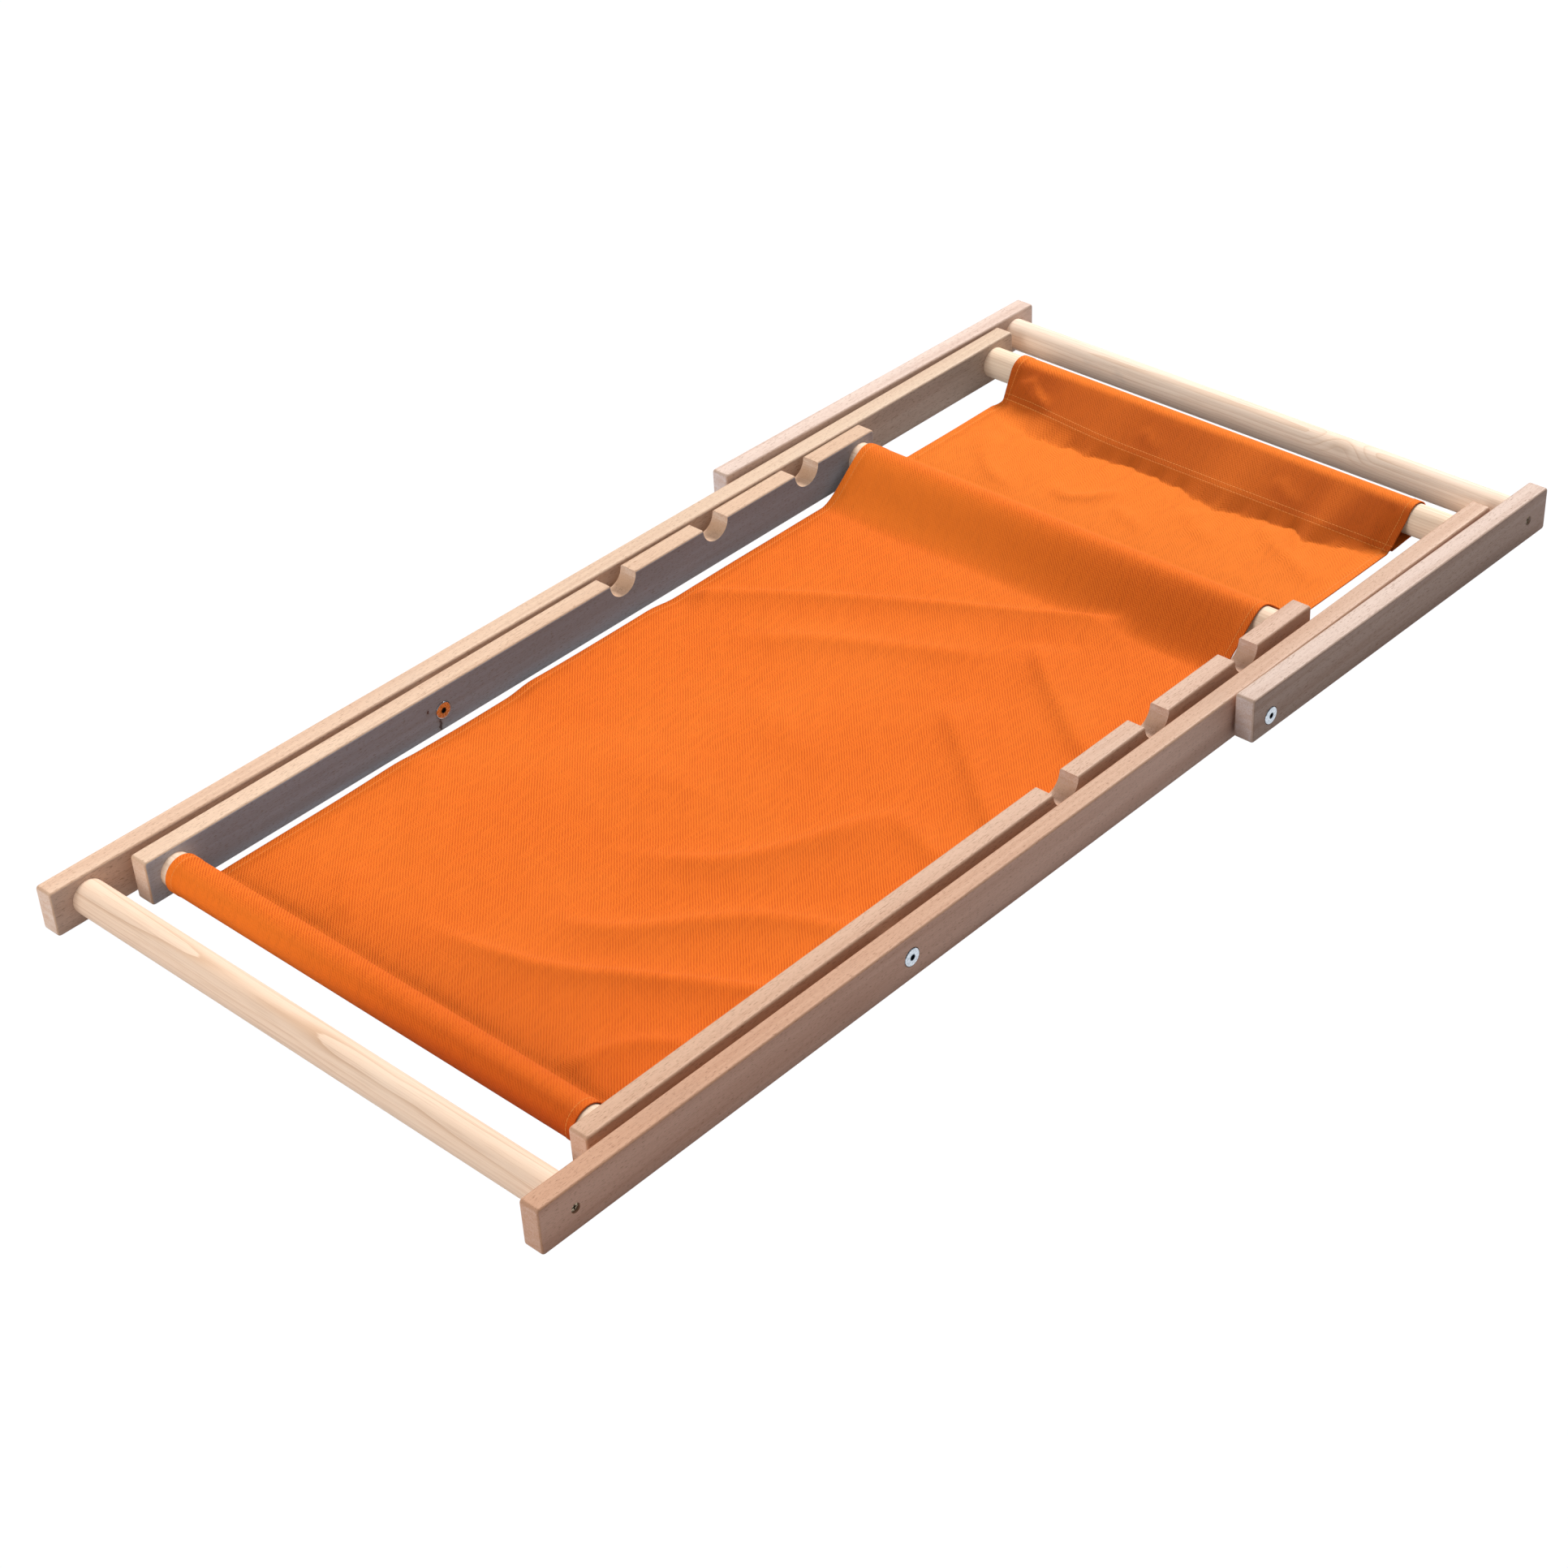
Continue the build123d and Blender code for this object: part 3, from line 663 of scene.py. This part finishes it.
def waves(x, y):
    """Small smooth unevenness."""
    total = np.zeros_like(x)
    for kx, ky, phase, height in WAVES:
        total += height / 1000 * (0.5 + 0.5 * np.sin(kx * x + ky * y + phase))
    return total


def places_across():
    """Where the sling's columns lie across it: close together at the hems, even between them."""
    inner = np.linspace(-1, 1, 92) * (SLING_HALF_WIDTH - HEM - 0.0012)
    edge = np.array([0.0, 0.0008, 0.0035, HEM - 0.0012, HEM, HEM + 0.0006])
    return np.concatenate([-SLING_HALF_WIDTH + edge, inner[1:-1], SLING_HALF_WIDTH - edge[::-1]])


def panel(rows, first, last, fade):
    """1 on the rows between first and last, fading out towards both."""
    return ease(np.minimum(rows - first, last - rows) / fade)[None, :]


def pocket_creases(grid, y, rows, starts):
    """How far the head pocket's face is pushed in or out at each point."""
    steps = np.hypot(np.diff(grid[..., 0], axis=1), np.diff(grid[..., 1], axis=1))
    run = np.concatenate([np.zeros((len(grid), 1)), np.cumsum(steps, axis=1)], 1)
    above_seam = (run[:, starts[4] - 1:starts[4]] - run) * 1000
    on_pocket = ease((rows[None, :] - starts[2] + 12) / 6) * ease((starts[4] - rows[None, :]) / 3)
    return on_pocket * fold_height(above_seam, y * 1000, POCKET_FOLDS)


def travel(points):
    """Unit direction of travel along the columns."""
    step = np.gradient(points, axis=1)
    return step / np.linalg.norm(step, axis=-1, keepdims=True)


def sheet(x, y, z, ys, along):
    """The mesh of the sling's middle surface. Its UVs are places across and along the cloth, over UV_SPAN."""
    n_columns, n_rows = x.shape
    vertices = np.stack([x, y, z], -1).reshape(-1, 3)
    faces = [
        (c * n_rows + r, c * n_rows + r + 1, (c + 1) * n_rows + r + 1, (c + 1) * n_rows + r)
        for c in range(n_columns - 1) for r in range(n_rows - 1)
    ]
    mesh = bpy.data.meshes.new("sling")
    mesh.from_pydata(vertices.tolist(), [], faces)
    layer = mesh.uv_layers.new(name="cloth")
    loop_vertices = np.zeros(len(mesh.loops), int)
    mesh.loops.foreach_get("vertex_index", loop_vertices)
    uv = np.stack([(ys[loop_vertices // n_rows] + SLING_HALF_WIDTH) / UV_SPAN,
                   along[loop_vertices % n_rows] / UV_SPAN], 1)
    layer.data.foreach_set("uv", uv.astype(np.float32).ravel())
    mesh.polygons.foreach_set("use_smooth", [True] * len(mesh.polygons))
    return mesh


def make_sling():
    """The sling's middle surface, and where its seams, hump and front wrap lie along it."""
    plan = SlingPlan()
    ys = places_across()
    columns = [plan.column(y) for y in ys]
    starts = columns[0][1]
    grid = np.array([points for points, _ in columns])  # column, row, (x, z)
    x, z = grid[..., 0], grid[..., 1].copy()
    y = np.repeat(ys[:, None], x.shape[1], 1)
    y = y + plan.left_inset(starts)[None, :] * (np.clip(-ys / SLING_HALF_WIDTH, 0, 1) ** 2)[:, None]
    rows = np.arange(x.shape[1])

    # Folds lift the two flat panels, fading out towards the bars and the hump.
    main = panel(rows, starts[9] - 10, starts[10] + 3, 10)
    rear = panel(rows, starts[5] - 5, starts[6] + 4, 7)
    from_foot = (x - cad_box[0].x) * 1000
    z += main * (fold_height(from_foot, y * 1000, FLOOR_FOLDS) + waves(x, y))
    z += rear * (fold_height(from_foot, y * 1000, REAR_FOLDS) + waves(x, y) * REAR_WAVES)

    crease = pocket_creases(grid, y, rows, starts)
    slope = travel(grid)
    x = x + crease * slope[..., 1]
    z = z - crease * slope[..., 0]

    # The doubled hem stands proud of the single cloth.
    hem = (np.abs(ys) > SLING_HALF_WIDTH - HEM - 0.0003)[:, None]
    slope = travel(np.stack([x, z], -1))
    x = x + hem * slope[..., 1] * HEM_RISE
    z = z - hem * slope[..., 0] * HEM_RISE

    middle = len(ys) // 2
    steps = np.hypot(np.diff(grid[middle, :, 0]), np.diff(grid[middle, :, 1]))
    along = np.concatenate([[0], np.cumsum(steps)])
    sling = bpy.data.objects.new("sling", sheet(x, y, z, ys, along))
    bpy.context.scene.collection.objects.link(sling)
    front_edge = along[starts[12] - 1]
    places = {
        "head_seam": (along[starts[3] - 1], along[starts[4] - 1]),
        "front_seam": (front_edge - 0.0100, front_edge - 0.0050),
        "hump": (along[starts[7]], along[starts[9]]),
        "wrap": along[starts[10]],
    }
    return sling, places


# ---------------------------------------------------------------- canvas

CANVAS_HIGH = (0.97, 0.205, 0.018)
CANVAS_LOW = (0.76, 0.115, 0.009)
CANVAS_FADED_AND_LIT = (1.0, 0.245, 0.028)
CANVAS_SHADE = (0.40, 0.052, 0.006)
CANVAS_LIT = (1.0, 0.215, 0.020)
CANVAS_BOUNCE = (0.16, 0.125, 0.115)
THREAD = (1.0, 0.34, 0.08)
WARP_PITCH = 0.00115
WEFT_PITCH = 0.00160
RIB_PITCH = 0.0021
DIAGONAL = 0.7071
STITCH_LENGTH = 0.0017
HEM_STITCHES = HEM - 0.0020
# How strongly painted shade darkens the cloth where it leans towards the foot end: on its panels, then the
# change on the hump's flank and on the front wrap, each at the left end and from the middle on. The shade is
# full where the normal's upward part is FULL_LEAN short of 1.
LEAN_SHADE = 0.46
HUMP_CHANGE = (-0.22, -0.46)
WRAP_CHANGE = (-0.06, -0.46)
FULL_LEAN = 0.17
PANEL_MIDDLE = 0.26


def stitch_line(s, across, along, at):
    """Mask of one row of stitches: where across is at, dashes along the other way."""
    off = s.math("ABSOLUTE", s.math("SUBTRACT", across, at))
    row = s.remap(off, 0.00045, 0.00025)
    dash = s.math("PINGPONG", along, STITCH_LENGTH)
    return s.math("MULTIPLY", row, s.remap(dash, 0.0002, 0.0005))


def stitch_rows(s, across, along, places):
    """Mask of every row of stitches: one in each hem, two at each seam."""
    width = 2 * SLING_HALF_WIDTH
    rows = [stitch_line(s, across, along, at) for at in (HEM_STITCHES, width - HEM_STITCHES)]
    rows += [stitch_line(s, along, across, at) for at in (*places["head_seam"], *places["front_seam"])]
    stitches = rows[0]
    for row in rows[1:]:
        stitches = s.math("MAXIMUM", stitches, row)
    return stitches


def plain_weave(s, across, along):
    """Height of the weave: warp and weft threads pass over each other by turns."""
    warp = s.math("SINE", s.math("MULTIPLY", across, math.pi / WARP_PITCH))
    weft = s.math("SINE", s.math("MULTIPLY", along, math.pi / WEFT_PITCH))
    over = s.remap(s.math("MULTIPLY", warp, weft), -0.15, 0.15)
    warp_top, weft_top = s.math("ABSOLUTE", warp), s.math("ABSOLUTE", weft)
    warp_height = s.math("MULTIPLY", warp_top, s.math("ADD", s.math("MULTIPLY", weft_top, 0.5), 0.5))
    weft_height = s.math("MULTIPLY", weft_top, s.math("ADD", s.math("MULTIPLY", warp_top, 0.3), 0.7))
    return s.math("ADD", s.math("MULTIPLY", over, warp_height),
                  s.math("MULTIPLY", s.math("SUBTRACT", 1.0, over), weft_height))


def diagonal_ribs(s, across, along, metres):
    """Diagonal ribs over the weave, broken up along their length."""
    drift = s.math("MULTIPLY", s.noise(metres, scale=40, detail=1), 0.0022)
    diagonal = s.math("MULTIPLY", s.math("ADD", s.math("ADD", across, along), drift), DIAGONAL)
    rib = s.math("SINE", s.math("MULTIPLY", diagonal, 2 * math.pi / RIB_PITCH))
    broken = s.noise(s.mapped(metres, scale=(300, 55, 1), rotation=(0, 0, math.radians(45))), detail=2)
    return s.math("MULTIPLY", rib, s.remap(broken, 0.35, 0.65, 0.1, 1.0))


def thread_slubs(s, metres):
    """Thicker stretches of thread, both ways."""
    slub_across = s.noise(s.mapped(metres, scale=(30, 620, 1)), detail=2, roughness=0.6)
    slub_along = s.noise(s.mapped(metres, scale=(860, 30, 1)), detail=2, roughness=0.6)
    return s.math("MULTIPLY", s.math("ADD", slub_across, slub_along), 0.5)


def painted_slope_shade(s, colour, across, along, places):
    """Paints shade where the cloth leans towards the foot end, and painted light and shade on the hump and the
    front wrap.
    """
    hump, wrap = places["hump"], places["wrap"]
    lean, _, up = s.split(s.node("NewGeometry").outputs["Normal"])
    flank = s.math("DIVIDE", s.math("SUBTRACT", 1.0, s.math("ABSOLUTE", up)), FULL_LEAN, clamp=True)
    flank = s.math("MULTIPLY", flank, s.remap(lean, 0.10, -0.14))
    on_hump = s.math("MULTIPLY", s.remap(along, hump[0] - 0.005, hump[0] + 0.005),
                     s.remap(along, hump[1] + 0.02, hump[1]))
    on_wrap = s.remap(along, wrap - 0.01, wrap + 0.01)
    depth = LEAN_SHADE
    for place, change in ((on_hump, HUMP_CHANGE), (on_wrap, WRAP_CHANGE)):
        depth = s.math("ADD", depth, s.math("MULTIPLY", place, s.remap(across, 0.0, PANEL_MIDDLE, *change)))
    colour = s.mix(s.math("MULTIPLY", flank, depth), colour, CANVAS_SHADE)

    # Painted shade darkens the front wrap below, most of all at the left, and painted light brightens the right
    # ends of the hump and wrap.
    below = s.math("MULTIPLY", on_wrap, s.remap(up, 0.75, 0.05))
    colour = s.mix(s.math("MULTIPLY", below, s.remap(across, 0.03, 0.40, 0.92, 0.15)), colour, CANVAS_SHADE)
    raised = s.math("MULTIPLY", flank, s.math("ADD", on_hump, on_wrap))
    lit = s.math("MULTIPLY", raised, s.remap(across, 0.12, 0.38))
    colour = s.mix(s.math("MULTIPLY", lit, 0.9), colour, CANVAS_LIT)

    # Painted shade darkens the left front corner, where the light falls off.
    front_end = places["front_seam"][0]
    near_front = s.remap(along, front_end - 0.30, front_end - 0.05)
    front_corner_shade = s.math("MULTIPLY", near_front, s.remap(across, 0.34, 0.08))
    colour = s.mix(s.math("MULTIPLY", front_corner_shade, 0.45), colour, CANVAS_LOW)
    # Painted shade darkens the cloth's slopes where it wraps the head bar.
    on_bar = s.remap(s.math("SUBTRACT", places["head_seam"][1], along), -0.001, 0.001)
    return s.mix(s.math("MULTIPLY", on_bar, s.math("MULTIPLY", flank, 0.30)), colour, CANVAS_SHADE)


def canvas(name, places):
    """Orange canvas: plain weave under diagonal ribs, slubs, faded patches, stitched hems and seams, with
    painted shade between the threads and painted light and shade on its slopes.
    """
    s = Shader(name)
    uv = s.node("UVMap", uv_map="cloth")
    u, v, _ = s.split(uv.outputs[0])
    across = s.math("MULTIPLY", u, UV_SPAN)
    along = s.math("MULTIPLY", v, UV_SPAN)
    metres = s.join(across, along, 0.0)
    weave = plain_weave(s, across, along)
    rib = diagonal_ribs(s, across, along, metres)
    stitches = stitch_rows(s, across, along, places)

    # The weave's and ribs' low places are painted darker, as painted shade between the threads; the slubs vary
    # the tone as well.
    tone = s.math("ADD", s.math("MULTIPLY", weave, 0.50), s.math("MULTIPLY", thread_slubs(s, metres), 0.50))
    tone = s.math("ADD", tone, s.math("MULTIPLY", rib, 0.55))
    colour = s.mix(s.remap(tone, 0.26, 0.74), CANVAS_LOW, CANVAS_HIGH)
    faded = s.noise(metres, scale=5.5, detail=4, roughness=0.55)
    colour = s.mix(s.math("MULTIPLY", s.remap(faded, 0.42, 0.68), 0.20), colour, CANVAS_FADED_AND_LIT)
    # The back panel, between the head pocket and the rear bar, is painted paler: painted light.
    head_seam = places["head_seam"]
    lit_back_panel = s.remap(along, head_seam[1] + 0.21, head_seam[1] + 0.12)
    colour = s.mix(s.math("MULTIPLY", lit_back_panel, 0.55), colour, CANVAS_FADED_AND_LIT)
    colour = painted_slope_shade(s, colour, across, along, places)
    colour = s.mix(s.math("MULTIPLY", stitches, 0.75), colour, THREAD)
    # Light that the canvas throws on the wood is toned down, so that the wood keeps its own colour.
    bounced = s.node("LightPath").outputs["Is Diffuse Ray"]
    colour = s.mix(bounced, colour, CANVAS_BOUNCE)

    # The cloth puckers along the head seam.
    off_seam = s.math("ABSOLUTE", s.math("SUBTRACT", along, sum(head_seam) / 2))
    pucker = s.remap(off_seam, 0.0075, 0.0)
    gather = s.math("MULTIPLY", pucker, s.noise(s.mapped(metres, scale=(260, 60, 1)), detail=2))
    normal = None
    for height, distance, strength in ((weave, 0.00028, 0.75), (rib, 0.00028, 0.7), (gather, 0.0005, 0.8),
                                       (stitches, 0.0002, 0.9)):
        normal = s.bump(height, distance, strength, normal=normal)
    s.set(Base_Color=colour, Roughness=0.86, Specular_IOR_Level=0.12, Normal=normal,
          Sheen_Weight=0.10, Sheen_Roughness=0.45, Sheen_Tint=(1.0, 0.42, 0.14))
    return s.material


# The open sling's sag: how deep it hangs behind the pivot and in front of it, how far from a bar the sag ends,
# and the length over which one side passes into the other.
BACK_BELLY = 0.030
BACK_BELLY_MIDDLE = 0.012
SEAT_BELLY = 0.022
BAR_HOLD = 0.035
SAG_STEP = 0.15


def finish_sling(sling, places):
    """Gives the sling its thickness and material, and hides the CAD's own sling parts in its place."""
    sling.data.materials.append(canvas("canvas_orange", places))
    thicken = sling.modifiers.new("thickness", "SOLIDIFY")
    thicken.thickness = CLOTH
    thicken.offset = 0.0
    thicken.use_rim = True
    thicken.use_even_offset = True
    bpy.context.view_layer.objects.active = sling
    with bpy.context.temp_override(object=sling, active_object=sling):
        bpy.ops.object.modifier_apply(modifier=thicken.name)
    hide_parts("sling_back", "sling_seat")
    pivot = Vector(joints["seat_fold"]["pos_m"])
    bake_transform(sling)
    shape_open_sling(sling, pivot)


def shape_open_sling(sling, pivot):
    """Works out how far each point would follow the seat frame for the open sling to hang in a smooth sag;
    nothing applies these shares to the sling.

    A point turns about the seat pivot, so its share of the turn sets its direction from the pivot when open.
    Each distance has a target direction, on a sagging line on either side, which also flattens the hump."""
    turn = math.radians(joints["seat_fold"]["range_deg"][1])
    co = np.zeros(len(sling.data.vertices) * 3)
    sling.data.vertices.foreach_get("co", co)
    co = co.reshape(-1, 3)
    x, z = co[:, 0] - pivot.x, co[:, 2] - pivot.z
    reach = np.hypot(x, z)
    head_reach = centre_of("back_head_bar").x - pivot.x
    front_reach = pivot.x - centre_of("seat_front_bar").x
    rest = np.arctan2(z, x)
    lie = FLOOR_LIFT - pivot.z

    # Behind the pivot: the sheet bellies down below the line it lies on, and the hump sinks to it.
    sag = np.sin(np.pi * np.clip(reach / (head_reach - BAR_HOLD), 0, 1))
    belly = BACK_BELLY * sag + BACK_BELLY_MIDDLE * sag ** 2
    target = np.arctan2(lie - belly, np.maximum(np.abs(x), 1e-4))
    behind = (rest - target) / turn
    near_head = np.clip((x - (head_reach - 0.060)) / 0.03, 0, 1)
    behind = behind * (1 - near_head)
    # In front of the pivot: the same, seen from the seat frame.
    sag = np.sin(np.pi * np.clip(reach / (front_reach - BAR_HOLD), 0, 1))
    ahead = 1 - SEAT_BELLY * sag / np.maximum(reach, 0.02) / turn
    near_front = np.clip((-x - (front_reach - 0.045)) / 0.02, 0, 1)
    ahead = ahead * (1 - near_front) + near_front
    # At the pivot, one passes into the other. What wraps the bars goes wholly with its own frame.
    step = ease(0.5 - x / SAG_STEP)
    weight = np.clip(behind, 0, 1) * (1 - step) + np.clip(ahead, 0, 1) * step
    weight[x > head_reach - 0.030] = 0.0
    weight[x < -(front_reach - 0.025)] = 1.0


# ---------------------------------------------------------------- floor, light, camera

FLOOR_REACH = 14.0
FLOOR_SEEN = (0.9, 0.9, 0.9)
FLOOR_BOUNCE = (0.45, 0.45, 0.47)
FLOOR_GLOW = 0.9
FLOOR_VEIL = 0.02
SKY = (0.97, 0.98, 1.0)
SKY_STRENGTH = 0.25
BACKGROUND_STRENGTH = 1.06
ORIGIN = (0, 0, 0)
# Soft lights: place, what it shines at, size and watts.
LIGHTS = {
    "key_behind": ((4.4, 0.7, 3.7), ORIGIN, (1.5, 1.5), 322),
    "strip_right": ((-0.05, 0.55, 1.0), (-0.05, 0, 0), (2.2, 0.4), 3.6),
    "fill_foot": ((-3.0, 0.6, 1.6), ORIGIN, (1.8, 1.8), 46),
}


def floor():
    """A white floor. The camera sees it as a thin veil over the white background, so the frames that swing down
    past it are lit and seen at every pose."""
    mesh = bpy.data.meshes.new("floor")
    corners = [(x * FLOOR_REACH, y * FLOOR_REACH, 0) for x, y in ((-1, -1), (1, -1), (1, 1), (-1, 1))]
    mesh.from_pydata(corners, [], [(0, 1, 2, 3)])
    plane = bpy.data.objects.new("floor", mesh)
    bpy.context.scene.collection.objects.link(plane)
    s = Shader("floor_white")
    rays = s.node("LightPath").outputs
    in_camera = rays["Is Camera Ray"]
    s.set(Base_Color=s.mix(in_camera, FLOOR_BOUNCE, FLOOR_SEEN), Roughness=0.95, Specular_IOR_Level=0.0,
          Emission_Color=(1.0, 1.0, 1.0),
          Emission_Strength=s.math("MULTIPLY", rays["Is Glossy Ray"], FLOOR_GLOW))
    # Shadow rays and whatever comes from below pass straight through.
    veil = s.math("SUBTRACT", 1.0, s.math("MULTIPLY", in_camera, 1.0 - FLOOR_VEIL))
    for passing in (rays["Is Shadow Ray"], s.node("NewGeometry").outputs["Backfacing"]):
        veil = s.math("MULTIPLY", veil, s.math("SUBTRACT", 1.0, passing))
    blend = s.node("MixShader")
    s.put(blend.inputs[0], veil)
    s.put(blend.inputs[1], s.node("BsdfTransparent").outputs[0])
    s.put(blend.inputs[2], s.surface.outputs[0])
    s.put(s.tree.nodes["Material Output"].inputs["Surface"], blend.outputs[0])
    mesh.materials.append(s.material)


def area_light(name, place, aim, size, power):
    """A white panel of light, which the camera doesn't see."""
    data = bpy.data.lights.new(name, "AREA")
    data.shape = "RECTANGLE"
    data.size, data.size_y = size
    data.energy = power
    light = bpy.data.objects.new(name, data)
    light.location = place
    light.rotation_mode = "QUATERNION"
    light.rotation_quaternion = (Vector(aim) - Vector(place)).to_track_quat("-Z", "Y")
    light.visible_camera = False
    bpy.context.scene.collection.objects.link(light)


def studio():
    """A white background, a dimmer sky that lights the chair, and three soft lights."""
    world = bpy.data.worlds.new("studio")
    bpy.context.scene.world = world
    world.use_nodes = True
    background = world.node_tree.nodes["Background"]
    background.inputs["Color"].default_value = (*SKY, 1.0)
    rays = world.node_tree.nodes.new("ShaderNodeLightPath")
    strength = world.node_tree.nodes.new("ShaderNodeMapRange")
    strength.inputs["To Min"].default_value = SKY_STRENGTH
    strength.inputs["To Max"].default_value = BACKGROUND_STRENGTH
    world.node_tree.links.new(rays.outputs["Is Camera Ray"], strength.inputs["Value"])
    world.node_tree.links.new(strength.outputs["Result"], background.inputs["Strength"])
    for name, settings in LIGHTS.items():
        area_light(name, *settings)
    bpy.context.scene.view_settings.view_transform = "Standard"


CAMERA_AZIMUTH = -45.15
CAMERA_ELEVATION = 35.66
CAMERA_ROLL = -3.54
CAMERA_DISTANCE = 2.4756
CAMERA_AIM_FROM_CENTRE = Vector((-0.0645, 0.0022, -0.0616))
CAMERA_LENS = 70.99
CAMERA_RANGE = (0.1, 50)


def camera():
    """Looks down across the chair from its left foot end."""
    a, e, roll = [math.radians(v) for v in (CAMERA_AZIMUTH, CAMERA_ELEVATION, CAMERA_ROLL)]
    back = Vector((math.sin(a) * math.cos(e), -math.cos(a) * math.cos(e), math.sin(e)))
    right = Vector((math.cos(a), math.sin(a), 0))
    up = back.cross(right)
    right, up = (math.cos(roll) * right + math.sin(roll) * up,
                 math.cos(roll) * up - math.sin(roll) * right)
    centre = (cad_box[0] + cad_box[1]) / 2
    data = bpy.data.cameras.new("camera")
    data.lens = CAMERA_LENS
    data.clip_start, data.clip_end = CAMERA_RANGE
    cam = bpy.data.objects.new("camera", data)
    turned = Matrix((right, up, back)).transposed().to_4x4()
    place = centre + CAMERA_AIM_FROM_CENTRE + back * CAMERA_DISTANCE
    cam.matrix_world = Matrix.Translation(place) @ turned
    bpy.context.scene.collection.objects.link(cam)
    bpy.context.scene.camera = cam


paint_wood()
paint_hardware()
finish_sling(*make_sling())
floor()
studio()
camera()
